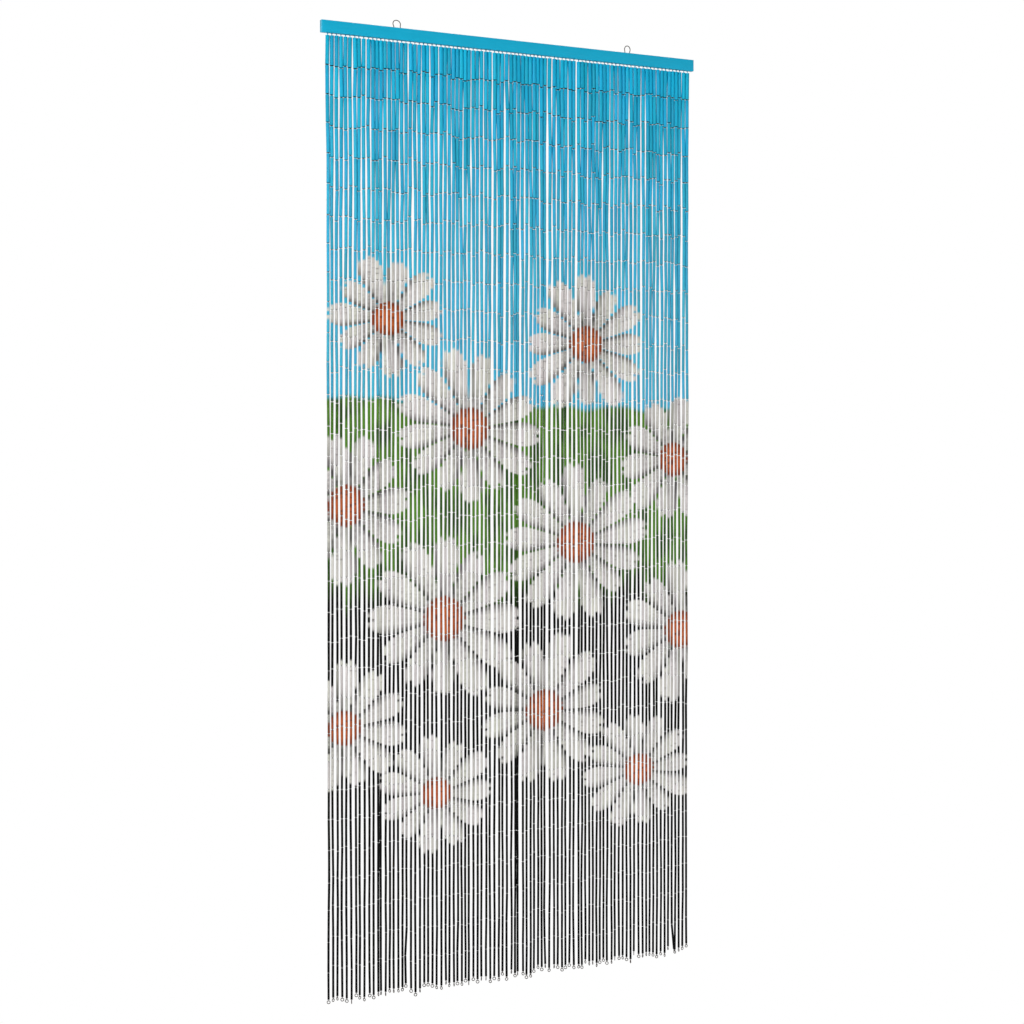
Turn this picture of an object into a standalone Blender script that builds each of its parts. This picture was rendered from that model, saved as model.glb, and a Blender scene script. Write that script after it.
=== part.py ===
"""Door curtain: ninety strands of bamboo tubes that hang from a painted wooden headrail.

Units are metres and +Z is up. The origin is the middle of the headrail's top face, +X runs
along the headrail and +Y points to the wall or frame behind the curtain.

The headrail and its two wire eyes are modelled piece by piece. The strands are four-sided
solids in three groups. Each group hangs from a narrow strip that stands for its row of staples.
"""

import math
import random

import bmesh
import bpy
from mathutils import Matrix, Vector

# Headrail
RAIL_LENGTH = 0.900
RAIL_THICKNESS = 0.010
RAIL_HEIGHT = 0.025
RAIL_EDGE = 0.0006

# Wire eyes: place along the headrail, turn about the vertical, and lean of the top to one side
EYES = {
    "eye_left": (-0.279, math.radians(-16.0), -0.0020),
    "eye_right": (0.279, math.radians(7.0), 0.0003),
}
EYE_RADIUS = 0.0078
EYE_RISE = 0.0158
EYE_WIRE = 0.0018
EYE_LEG = 0.0140
EYE_ARCH_STEPS = 18

# How far the arch runs on below its middle at each side, and so where the legs stand
EYE_OVERRUN = math.radians(30.0)
EYE_LEG_ASIDE = EYE_RADIUS * math.cos(EYE_OVERRUN)
BORE_CLEARANCE = 0.0003
BORE_SIDES = 16

# Clearance between pieces that touch on the real curtain
SEAT_GAP = 0.0003

# Strands
STRANDS = 90
GROUPS = ("strands_left", "strands_middle", "strands_right")
STRAND_SPAN = 0.869
PITCH = STRAND_SPAN / (STRANDS - 1)
STRIP_HEIGHT = 0.0030
STRIP_DEPTH = 0.0020
LINK_WIDTH = 0.0020
SHOULDER = 0.0006
SEED = 41

# How far each strand hangs from an even spacing, in tenths of a millimetre from the left
STRAND_SHIFTS = (
    -6, -11, -10, -6, 0, 3, 11, 4, 14, 26, 24, 27, -7, -1, 3, -7, -5, -3, -4, -2, 4, 8, 11, 5, 13,
    11, 29, 29, 20, 27, 21, 14, 8, -5, 4, 6, 3, 14, 6, 25, 30, 16, 25, 43, 39, -7, 26, 17, 22, 12,
    9, 0, -27, 2, 22, 10, 24, 5, 16, 21, 45, 33, 25, 25, 17, 15, 13, 5, -6, 3, 4, 6, 9, 6, 7, 13,
    18, 33, 34, 24, 22, 23, 33, 28, 31, 19, 15, 9, 24, 20,
)

# Tubes
FIRST_TUBE_TOP = -0.0298
FIRST_TUBE_SPREAD = 0.0004
TUBES = 32
TUBE_LENGTH = 0.0600
TUBE_GAP = 0.0013

# Row of tubes counted from the top, outer diameter
TUBE_DIAMETERS = (
    (0, 0.0090),
    (1, 0.0086),
    (2, 0.0082),
    (4, 0.0075),
    (8, 0.0066),
    (16, 0.0056),
    (24, 0.0052),
    (31, 0.0050),
)

# A square of this share of a circle's diameter has the circle's area
SIDE_OF_EQUAL_AREA = math.sqrt(math.pi) / 2

# Joint heights stray from level rows: standard deviation that each tube adds, and share kept
HEIGHT_SPREAD = 0.0032
HEIGHT_KEPT = 0.72
HEIGHT_LIMIT = 1.8

# The strands hang shorter at both sides than in the middle, and shorter at the right than the left
SIDE_STRANDS_SHORTER = 0.0028
RISE_TO_RIGHT = 0.0085

# Joint counted from the top, how far the strands stray there as one standard deviation, first
# along the headrail and then out of its plane
SWAY_ALONG = ((0, 0.0002), (1, 0.0009), (8, 0.0008), (14, 0.0004), (32, 0.0004))
SWAY_OUT = ((0, 0.0003), (2, 0.0008), (32, 0.0008))

# Share of a joint's sway that the next one keeps, and the most sway in standard deviations
SWAY_KEPT = 0.65
SWAY_LIMIT = 1.7

# Tubes beside each other touch at most: the clearance between them, and passes that spread them
TOUCH_GAP = 0.0001
SPREAD_PASSES = 12

# Number of a strand counted from the left, how much longer it hangs than the rest
LONG_STRANDS = {0: 0.003, 2: 0.005, 8: 0.003, 20: 0.009, 48: 0.004, 53: 0.005, 85: 0.005}

# Strand, joint, and the joint's shift along X and Y where the strand hangs crooked
PUSHED_JOINTS = (
    (18, 31, -0.0016, 0.0018),
    (18, 32, -0.0016, 0.0018),
    (52, 32, 0.0010, -0.0020),
    (85, 31, 0.0004, -0.0010),
    (85, 32, 0.0032, -0.0050),
)

# Joints where the solids show the tubes' ends, and joints where they only bend
NOTCHED_JOINTS = (1, 2, 3)
BENT_JOINTS = (6, 11, 18, 25)

# End rings
RING_DIAMETER = 0.0078
RING_WIRE = 0.0010
RING_STEM = 0.0015

# Finishes: colour, roughness and metallic value
TURQUOISE_PAINT = ("turquoise_paint", (0.013, 0.366, 0.558), 0.45, 0.0)
PAINTED_BAMBOO = ("painted_bamboo", (0.040, 0.330, 0.500), 0.50, 0.0)
STEEL_WIRE = ("steel_wire", (0.420, 0.400, 0.370), 0.35, 1.0)


def clear_scene():
    """Removes every object that the opened file holds."""
    for thing in list(bpy.data.objects):
        bpy.data.objects.remove(thing, do_unlink=True)


def finish(name, colour, roughness, metallic):
    """Makes a plain material, or returns the one already made under that name."""
    material = bpy.data.materials.get(name)
    if material is None:
        material = bpy.data.materials.new(name)
        material.use_nodes = True
        shader = material.node_tree.nodes["Principled BSDF"]
        shader.inputs["Base Color"].default_value = (*colour, 1.0)
        shader.inputs["Roughness"].default_value = roughness
        shader.inputs["Metallic"].default_value = metallic
    return material


def place(name, data, surface):
    """Adds a named object to the scene with its finish."""
    thing = bpy.data.objects.new(name, data)
    data.materials.append(finish(*surface))
    bpy.context.scene.collection.objects.link(thing)
    return thing


def mesh_from(name, bm):
    """Turns a bmesh into a mesh with its faces pointing out."""
    bmesh.ops.recalc_face_normals(bm, faces=bm.faces)
    mesh = bpy.data.meshes.new(name)
    bm.to_mesh(mesh)
    bm.free()
    return mesh


def between(table, row):
    """Reads a table of (row, value) pairs, straight between its rows."""
    for (low, start), (high, end) in zip(table, table[1:]):
        if row <= high:
            return start + (end - start) * (row - low) / (high - low)
    return table[-1][1]


def bore_cutter(name, x, turn):
    """Makes the hidden pair of cylinders that bore the headrail for one eye's legs."""
    radius = EYE_WIRE / 2 + BORE_CLEARANCE
    depth = EYE_LEG + 2 * BORE_CLEARANCE
    bm = bmesh.new()
    for side in (-1, 1):
        bmesh.ops.create_cone(
            bm,
            cap_ends=True,
            segments=BORE_SIDES,
            radius1=radius,
            radius2=radius,
            depth=2 * depth,
            matrix=Matrix.Translation((side * EYE_LEG_ASIDE, 0.0, 0.0)),
        )
    cutter = bpy.data.objects.new(name, mesh_from(name, bm))
    bpy.context.scene.collection.objects.link(cutter)
    cutter.location = (x, 0.0, 0.0)
    cutter.rotation_euler = (0.0, 0.0, turn)
    cutter.hide_render = True
    cutter.display_type = "WIRE"
    return cutter


def build_headrail():
    """Makes the lath with eased edges and two blind bores for each wire eye."""
    bm = bmesh.new()
    size = Matrix.Diagonal((RAIL_LENGTH, RAIL_THICKNESS, RAIL_HEIGHT, 1.0))
    middle = Matrix.Translation((0.0, 0.0, -RAIL_HEIGHT / 2))
    bmesh.ops.create_cube(bm, size=1.0, matrix=middle @ size)
    rail = place("headrail", mesh_from("headrail", bm), TURQUOISE_PAINT)
    edges = rail.modifiers.new("eased_edges", "BEVEL")
    edges.width = RAIL_EDGE
    edges.segments = 1
    for name, (x, turn, lean) in EYES.items():
        bore = rail.modifiers.new("bores_" + name, "BOOLEAN")
        bore.operation = "DIFFERENCE"
        bore.object = bore_cutter("bore_cutter_" + name, x, turn)


def eye_route(lean):
    """Returns the middle line of an eye's wire, from leg to leg, in the eye's own X-Z plane."""
    route = [Vector((-EYE_LEG_ASIDE, 0.0, -EYE_LEG)), Vector((-EYE_LEG_ASIDE, 0.0, 0.0))]
    for step in range(EYE_ARCH_STEPS + 1):
        angle = math.pi + EYE_OVERRUN - (math.pi + 2 * EYE_OVERRUN) * step / EYE_ARCH_STEPS
        height = EYE_RISE - EYE_RADIUS + EYE_RADIUS * math.sin(angle)
        aside = lean * height / EYE_RISE
        route.append(Vector((EYE_RADIUS * math.cos(angle) + aside, 0.0, height)))
    return route + [Vector((EYE_LEG_ASIDE, 0.0, 0.0)), Vector((EYE_LEG_ASIDE, 0.0, -EYE_LEG))]


def build_eye(name, x, turn, lean):
    """Makes a wire eye: an arch above the headrail with both legs in their bores."""
    curve = bpy.data.curves.new(name, "CURVE")
    curve.dimensions = "3D"
    curve.bevel_depth = EYE_WIRE / 2
    curve.bevel_resolution = 2
    curve.use_fill_caps = True
    route = eye_route(lean)
    spline = curve.splines.new("POLY")
    spline.points.add(len(route) - 1)
    for point, spot in zip(spline.points, route):
        point.co = (*spot, 1.0)
    eye = place(name, curve, STEEL_WIRE)
    eye.location = (x, 0.0, 0.0)
    eye.rotation_euler = (0.0, 0.0, turn)


def even_place(number):
    """Returns a strand's place along the headrail if all were evenly spaced."""
    return (number - (STRANDS - 1) / 2) * PITCH


def limited(stray, most):
    """Keeps a stray, in standard deviations, within a limit."""
    return max(-most, min(most, stray))


def hanging_line(number):
    """Returns one strand's joints as it hangs by itself: the top of each tube and the last foot."""
    draw = random.Random(SEED * STRANDS + number)
    across = even_place(number) + STRAND_SHIFTS[number] * 0.0001
    share = 2 * even_place(number) / STRAND_SPAN
    shorter = SIDE_STRANDS_SHORTER * share ** 2 + RISE_TO_RIGHT * share / 2
    longer = LONG_STRANDS.get(number, 0.0) - shorter
    stray_x = draw.gauss(0.0, 1.0)
    stray_y = draw.gauss(0.0, 1.0)
    stray_z = draw.uniform(-FIRST_TUBE_SPREAD, FIRST_TUBE_SPREAD)
    fresh = math.sqrt(1.0 - SWAY_KEPT ** 2)
    joints = []
    for joint in range(TUBES + 1):
        x = across + between(SWAY_ALONG, joint) * limited(stray_x, SWAY_LIMIT)
        y = between(SWAY_OUT, joint) * limited(stray_y, SWAY_LIMIT)
        level = FIRST_TUBE_TOP - joint * (TUBE_LENGTH + TUBE_GAP + longer / TUBES)
        joints.append(Vector((x, y, level + stray_z)))
        stray_x = SWAY_KEPT * stray_x + fresh * draw.gauss(0.0, 1.0)
        stray_y = SWAY_KEPT * stray_y + fresh * draw.gauss(0.0, 1.0)
        stray_z = HEIGHT_KEPT * stray_z + HEIGHT_SPREAD * limited(draw.gauss(0.0, 1.0), HEIGHT_LIMIT)
    joints[-1].z += TUBE_GAP
    for strand, joint, shift_x, shift_y in PUSHED_JOINTS:
        if strand == number:
            joints[joint] += Vector((shift_x, shift_y, 0.0))
    return joints


def hanging_lines():
    """Returns every strand's joints, with tubes that would overlap pushed apart until they touch."""
    lines = [hanging_line(number) for number in range(STRANDS)]
    for joint in range(TUBES + 1):
        room = between(TUBE_DIAMETERS, max(joint - 1, 0)) + TOUCH_GAP
        for _ in range(SPREAD_PASSES):
            for left, right in zip(lines, lines[1:]):
                short = max(0.0, room - (right[joint].x - left[joint].x))
                left[joint].x -= short / 2
                right[joint].x += short / 2
    return lines


def ring_turn(number, lines):
    """Returns the turn of a strand's end ring, more edge on where its neighbours hang close."""
    turn = random.Random(SEED + number).uniform(-math.pi / 2, math.pi / 2)
    foot = lines[number][-1].x
    beside = [line[-1].x for line in lines[max(number - 1, 0):number + 2]]
    spacing = min(abs(x - foot) for x in beside if x != foot)
    widest = min(1.0, (spacing - RING_WIRE) / RING_DIAMETER)
    return math.copysign(max(abs(turn), math.acos(widest)), turn)


def section(centre, half_width, half_depth, turn=0.0):
    """Returns the corners of a level section, in order round it, turned about the vertical."""
    if abs(turn) > math.pi / 4:
        half_width, half_depth = half_depth, half_width
        turn -= math.copysign(math.pi / 2, turn)
    spin = Matrix.Rotation(turn, 3, "Z")
    corners = ((-1, -1), (-1, 1), (1, 1), (1, -1))
    return [centre + spin @ Vector((x * half_width, y * half_depth, 0.0)) for x, y in corners]


def tube_sections(joints):
    """Returns the sections of a strand's tubes: notched at the first joints, then only bent."""
    half = [SIDE_OF_EQUAL_AREA * between(TUBE_DIAMETERS, row) / 2 for row in range(TUBES)]
    half_link = LINK_WIDTH / 2
    half_gap = Vector((0.0, 0.0, TUBE_GAP / 2))
    shoulder = Vector((0.0, 0.0, SHOULDER))
    sections = [
        section(joints[0], half_link, half_link),
        section(joints[0] - shoulder, half[0], half[0]),
    ]
    for joint in NOTCHED_JOINTS:
        middle = joints[joint] + half_gap
        sections.append(section(middle + half_gap, half[joint - 1], half[joint - 1]))
        sections.append(section(middle, half_link, half_link))
        sections.append(section(middle - half_gap, half[joint], half[joint]))
    for joint in BENT_JOINTS:
        sections.append(section(joints[joint], half[joint], half[joint]))
    sections.append(section(joints[-1], half[-1], half[-1]))
    return sections


def ring_sections(foot, turn):
    """Returns the sections of an end ring's flat solid, from the foot of the last tube down."""
    half_wire = RING_WIRE / 2
    centre = foot - Vector((0.0, 0.0, RING_STEM + RING_DIAMETER / 2))
    return [
        section(foot - Vector((0.0, 0.0, SHOULDER)), half_wire, half_wire, turn),
        section(centre, RING_DIAMETER / 2, half_wire, turn),
        section(centre - Vector((0.0, 0.0, RING_DIAMETER / 2)), half_wire, half_wire, turn),
    ]


def strip_with_roots(bm, roots, left_end, right_end):
    """Makes a strip under the headrail and returns the faces that its strands grow from."""
    bottom = -RAIL_HEIGHT - SEAT_GAP - STRIP_HEIGHT
    stops = [left_end]
    for x in roots:
        stops.append(x - LINK_WIDTH / 2)
        stops.append(x + LINK_WIDTH / 2)
    stops.append(right_end)
    front = [bm.verts.new((x, -STRIP_DEPTH / 2, bottom)) for x in stops]
    back = [bm.verts.new((x, STRIP_DEPTH / 2, bottom)) for x in stops]
    underside = []
    for step in range(len(stops) - 1):
        corners = (front[step], back[step], back[step + 1], front[step + 1])
        underside.append(bm.faces.new(corners))
    raised = bmesh.ops.extrude_face_region(bm, geom=underside, use_keep_orig=True)["geom"]
    upper = [part for part in raised if isinstance(part, bmesh.types.BMVert)]
    bmesh.ops.translate(bm, verts=upper, vec=(0.0, 0.0, STRIP_HEIGHT))
    return underside[1::2]


def build_strands(name, numbers, lines, ends):
    """Makes one group of strands as a single solid: the strip, and each strand drawn down from it."""
    bm = bmesh.new()
    roots = [lines[number][0].x for number in numbers]
    faces = strip_with_roots(bm, roots, ends[0] + SEAT_GAP / 2, ends[1] - SEAT_GAP / 2)
    for number, face in zip(numbers, faces):
        joints = lines[number]
        turn = ring_turn(number, lines)
        for corners in tube_sections(joints) + ring_sections(joints[-1], turn):
            face = bmesh.ops.extrude_discrete_faces(bm, faces=[face])["faces"][0]
            for corner, spot in zip(face.verts, corners):
                corner.co = spot
    place(name, mesh_from(name, bm), PAINTED_BAMBOO)


def build_curtain():
    """Makes every piece of the curtain in its place."""
    build_headrail()
    for name, (x, turn, lean) in EYES.items():
        build_eye(name, x, turn, lean)
    lines = hanging_lines()
    share = STRANDS // len(GROUPS)
    tops = [line[0].x for line in lines]
    ends = [tops[0] - PITCH / 2]
    ends += [(tops[last - 1] + tops[last]) / 2 for last in range(share, STRANDS, share)]
    ends.append(tops[-1] + PITCH / 2)
    for order, name in enumerate(GROUPS):
        numbers = range(order * share, (order + 1) * share)
        build_strands(name, numbers, lines, ends[order:order + 2])


clear_scene()
build_curtain()
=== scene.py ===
"""Dresses the door curtain: painted bamboo tubes on link wires, hung from a painted headrail.

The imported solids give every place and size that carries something. This script replaces the
plain strands by hollow tubes, link wires and end rings, and gives each surface its finish.
Units are metres, +Z is up, and the origin is the middle of the headrail's top face.
"""

import logging
import math
import random
from dataclasses import dataclass, field
from enum import Enum

import bmesh
import bpy
import numpy as np
from mathutils import Matrix, Vector


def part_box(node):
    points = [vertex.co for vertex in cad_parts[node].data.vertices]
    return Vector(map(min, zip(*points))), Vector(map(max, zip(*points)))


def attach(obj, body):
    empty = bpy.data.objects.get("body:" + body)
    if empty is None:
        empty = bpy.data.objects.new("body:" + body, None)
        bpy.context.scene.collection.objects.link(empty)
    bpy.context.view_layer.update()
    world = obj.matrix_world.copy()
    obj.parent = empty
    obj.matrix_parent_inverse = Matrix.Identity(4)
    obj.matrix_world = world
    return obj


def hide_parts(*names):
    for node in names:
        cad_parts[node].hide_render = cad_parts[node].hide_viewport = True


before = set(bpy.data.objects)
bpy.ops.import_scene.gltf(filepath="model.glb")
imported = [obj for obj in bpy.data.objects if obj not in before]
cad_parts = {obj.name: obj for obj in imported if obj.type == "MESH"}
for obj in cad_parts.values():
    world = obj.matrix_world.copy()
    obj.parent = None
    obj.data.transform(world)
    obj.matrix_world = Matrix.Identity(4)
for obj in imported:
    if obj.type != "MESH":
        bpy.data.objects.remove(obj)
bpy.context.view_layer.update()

LOG = logging.getLogger("door_curtain")
ROOT = "root"

Colour = tuple[float, float, float]
Corners = list[tuple[float, float]]


def from_screen(red: int, green: int, blue: int) -> Colour:
    """Turns a screen colour into the linear colour that a shader takes.

    Args:
        red: Red from 0 to 255.
        green: Green from 0 to 255.
        blue: Blue from 0 to 255.

    Returns:
        The three linear values from 0 to 1.
    """
    shares = [channel / 255.0 for channel in (red, green, blue)]
    linear = [s / 12.92 if s <= 0.04045 else ((s + 0.055) / 1.055) ** 2.4 for s in shares]
    return (linear[0], linear[1], linear[2])


def between(table: tuple[tuple[float, float], ...], row: float) -> float:
    """Reads a table of (row, value) pairs, straight between its rows.

    Args:
        table: The pairs, in rising order of row.
        row: Where to read it.

    Returns:
        The value there, or the last value past the table's end.
    """
    for (low, start), (high, end) in zip(table, table[1:]):
        if row <= high:
            return start + (end - start) * (row - low) / (high - low)
    return table[-1][1]


class Bank(Enum):
    """The three groups of strands, each by the name of its solid."""

    LEFT = "strands_left"
    MIDDLE = "strands_middle"
    RIGHT = "strands_right"

    @property
    def order(self) -> int:
        """Returns the group's place, counted from the left."""
        return list(Bank).index(self)

    @property
    def side(self) -> str:
        """Returns the group's side, for the names of its pieces."""
        return self.value.removeprefix("strands_")


class Slot(Enum):
    """The record's material slots."""

    RAIL = "rail_paint"
    BAMBOO = "bamboo_paint"
    WIRE = "steel_wire"


class NodeBench:
    """A node tree with short ways to add nodes and link them."""

    def __init__(self, tree: bpy.types.NodeTree) -> None:
        """Keeps the tree that nodes are added to."""
        self.tree = tree

    def add(self, kind: str, **settings: object) -> bpy.types.Node:
        """Adds a node.

        Args:
            kind: The node's type, as Blender names it.
            **settings: Properties to set on the node.

        Returns:
            The new node.
        """
        node = self.tree.nodes.new(kind)
        for name, value in settings.items():
            setattr(node, name, value)
        return node

    def feed(self, socket: bpy.types.NodeSocket, source: object) -> None:
        """Links a socket to a source, or sets it to a plain value.

        Args:
            socket: The input to feed.
            source: An output socket or a value.
        """
        if isinstance(source, bpy.types.NodeSocket):
            self.tree.links.new(source, socket)
        else:
            socket.default_value = source

    def math(self, operation: str, *values: object, clamp: bool = False) -> bpy.types.NodeSocket:
        """Adds a Math node.

        Args:
            operation: The operation's name.
            *values: Up to three sockets or numbers.
            clamp: Whether the result is kept between 0 and 1.

        Returns:
            The node's output.
        """
        node = self.add("ShaderNodeMath", operation=operation, use_clamp=clamp)
        for socket, value in zip(node.inputs, values):
            self.feed(socket, value)
        return node.outputs[0]

    def blend(self, share: object, under: object, over: object, mode: str = "MIX") -> bpy.types.NodeSocket:
        """Mixes two colours.

        Args:
            share: How much of the upper colour shows.
            under: The lower colour, as a socket or four numbers.
            over: The upper colour, as a socket or four numbers.
            mode: The way they are mixed.

        Returns:
            The mixed colour.
        """
        node = self.add("ShaderNodeMix", data_type="RGBA", blend_type=mode, clamp_factor=True)
        self.feed(node.inputs[0], share)
        self.feed(node.inputs[6], under)
        self.feed(node.inputs[7], over)
        return node.outputs[2]

    def ramp(self, value: object, low: float, high: float, smooth: bool = True) -> bpy.types.NodeSocket:
        """Rises from 0 to 1 as a value goes from low to high, or falls if low is the larger.

        Args:
            value: The value that is read.
            low: Where the result is 0.
            high: Where the result is 1.
            smooth: Whether the ramp eases in and out.

        Returns:
            The ramp's output.
        """
        kind = "SMOOTHSTEP" if smooth else "LINEAR"
        node = self.add("ShaderNodeMapRange", interpolation_type=kind, clamp=True)
        self.feed(node.inputs[0], value)
        node.inputs[1].default_value = low
        node.inputs[2].default_value = high
        return node.outputs[0]

    def noise(self, place: object, scale: float, detail: float = 2.0) -> bpy.types.NodeSocket:
        """Adds a Noise Texture and returns its value, from 0 to 1.

        Args:
            place: The coordinates that it reads.
            scale: Its scale.
            detail: Its detail.

        Returns:
            The noise value.
        """
        node = self.add("ShaderNodeTexNoise")
        self.feed(node.inputs["Vector"], place)
        node.inputs["Scale"].default_value = scale
        node.inputs["Detail"].default_value = detail
        return node.outputs["Fac"]

    def stretched(self, place: object, stretch: tuple[float, float, float]) -> bpy.types.NodeSocket:
        """Scales coordinates by a different amount along each axis.

        Args:
            place: The coordinates.
            stretch: The scale along X, Y and Z.

        Returns:
            The scaled coordinates.
        """
        node = self.add("ShaderNodeMapping")
        self.feed(node.inputs["Vector"], place)
        node.inputs["Scale"].default_value = stretch
        return node.outputs["Vector"]


def shader_group(name: str, inputs: dict[str, str], outputs: dict[str, str]) -> bpy.types.NodeTree:
    """Starts a shader node group with its sockets.

    Args:
        name: The group's name.
        inputs: Socket names and kinds, such as "Float" or "Color".
        outputs: The same for what it puts out.

    Returns:
        The group, with no nodes in it yet.
    """
    group = bpy.data.node_groups.new(name, "ShaderNodeTree")
    for side, sockets in (("INPUT", inputs), ("OUTPUT", outputs)):
        for label, kind in sockets.items():
            group.interface.new_socket(label, in_out=side, socket_type="NodeSocket" + kind)
    return group


def smooth_piece(
    name: str, bm: bmesh.types.BMesh, finish: bpy.types.Material, sharp: float
) -> bpy.types.Object:
    """Turns a mesh under construction into a smooth object in the scene.

    Args:
        name: The object's name, and its mesh's.
        bm: The mesh under construction, which is freed.
        finish: The material.
        sharp: The degrees from which an edge is sharp.

    Returns:
        The object.
    """
    bmesh.ops.recalc_face_normals(bm, faces=bm.faces)
    mesh = bpy.data.meshes.new(name)
    bm.to_mesh(mesh)
    bm.free()
    mesh.shade_smooth()
    mesh.set_sharp_from_angle(angle=math.radians(sharp))
    mesh.materials.append(finish)
    thing = bpy.data.objects.new(name, mesh)
    bpy.context.scene.collection.objects.link(thing)
    return thing


def dress(piece: bpy.types.Object, node: str) -> None:
    """Hangs a piece on the root body and hides the solid that it stands for.

    Args:
        piece: The finished piece.
        node: The solid that it stands for.
    """
    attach(piece, ROOT)
    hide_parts(node)
    LOG.info("%s: %d faces", piece.name, len(piece.data.polygons))


@dataclass(frozen=True)
class Blossom:
    """One painted flower, placed on the curtain's front."""

    across: float
    height: float
    reach: float
    petals: int
    turn: float
    flatness: float = 1.0


# Across, height, reach, petals, turn, flatness
BLOSSOMS = (
    Blossom(-0.300, -0.600, 0.150, 11, 0.10, 0.92),
    Blossom(0.175, -0.640, 0.165, 12, 0.45, 0.96),
    Blossom(0.400, -0.890, 0.150, 10, 0.25, 1.00),
    Blossom(-0.110, -0.825, 0.185, 13, 0.70, 0.95),
    Blossom(-0.395, -0.985, 0.165, 11, 0.35, 1.05),
    Blossom(0.150, -1.070, 0.190, 13, 0.15, 0.94),
    Blossom(0.420, -1.270, 0.165, 11, 0.60, 1.02),
    Blossom(-0.170, -1.225, 0.190, 12, 0.55, 1.00),
    Blossom(-0.400, -1.440, 0.150, 11, 0.80, 0.96),
    Blossom(0.310, -1.575, 0.155, 12, 0.30, 0.90),
    Blossom(0.070, -1.430, 0.180, 12, 0.05, 0.98),
    Blossom(-0.190, -1.590, 0.145, 11, 0.50, 0.93),
)


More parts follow.
